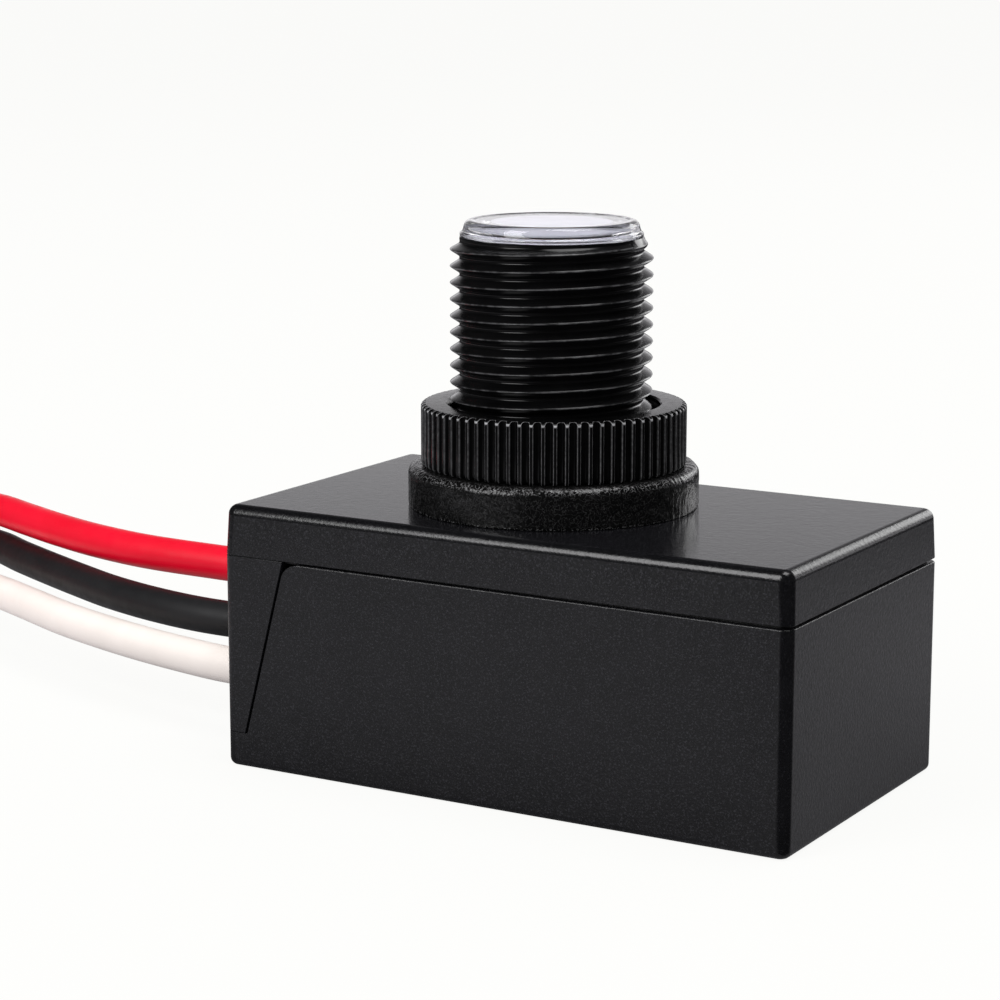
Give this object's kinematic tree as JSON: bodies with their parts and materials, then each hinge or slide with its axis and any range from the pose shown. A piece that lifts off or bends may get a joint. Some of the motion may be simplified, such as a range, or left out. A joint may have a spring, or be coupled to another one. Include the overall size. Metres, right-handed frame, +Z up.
{
  "type": "photocell switch",
  "caption": "Black rectangular photocell switch with a threaded nipple, clear lens cap, rubber gasket, ribbed hand nut and three short coloured leads.",
  "frame": {"origin": "centre of the underside of the case", "axes": "+Z up along the threaded nipple, +X along the case away from the end the leads leave"},
  "size_m": [0.1621, 0.0532, 0.0585],
  "materials": {
    "case": "fine moulded grain",
    "rubber": "dull moulded rubber",
    "lens": "clear moulded",
    "nut": "satin moulded",
    "board": "bare laminate",
    "cell": "ceramic disc",
    "holder": "moulded",
    "tinned": "tinned wire",
    "relay": "moulded",
    "film_cap": "moulded",
    "can_sleeve": "shrink sleeve",
    "varistor": "dipped",
    "resistor": "dipped",
    "diode": "moulded",
    "glass_diode": "glass bead",
    "steel": "zinc plated",
    "copper": "bare stranded copper",
    "lead_red": "smooth insulation",
    "lead_black": "smooth insulation",
    "lead_white": "smooth insulation"
  },
  "bodies": {
    "housing": {"base_housing": "case", "top_cover": "case", "end_plug": "case", "cover_seal": "rubber", "lens_cap": "lens", "lens_seal": "rubber", "mounting_gasket": "rubber", "circuit_board": "board", "light_sensor": "cell", "sensor_holder": "holder", "sensor_leads": "tinned", "relay": "relay", "film_capacitor": "film_cap", "smoothing_capacitor": "can_sleeve", "varistor": "varistor", "resistors": "resistor", "rectifier_diodes": "diode", "zener_diode": "glass_diode", "transistor": "diode", "board_screws": "steel", "cover_screws": "steel", "lead_grommet": "rubber", "lead_tails": "copper", "lead_red": "lead_red", "lead_black": "lead_black", "lead_white": "lead_white", "lead_tips": "copper"},
    "nut": {"lock_nut": "nut"}
  },
  "joints": [
    {"name": "nut_travel", "type": "slide", "parent": "housing", "child": "nut", "axis": [0, 0, 1], "range_m": [0, 0.027]}
  ]
}
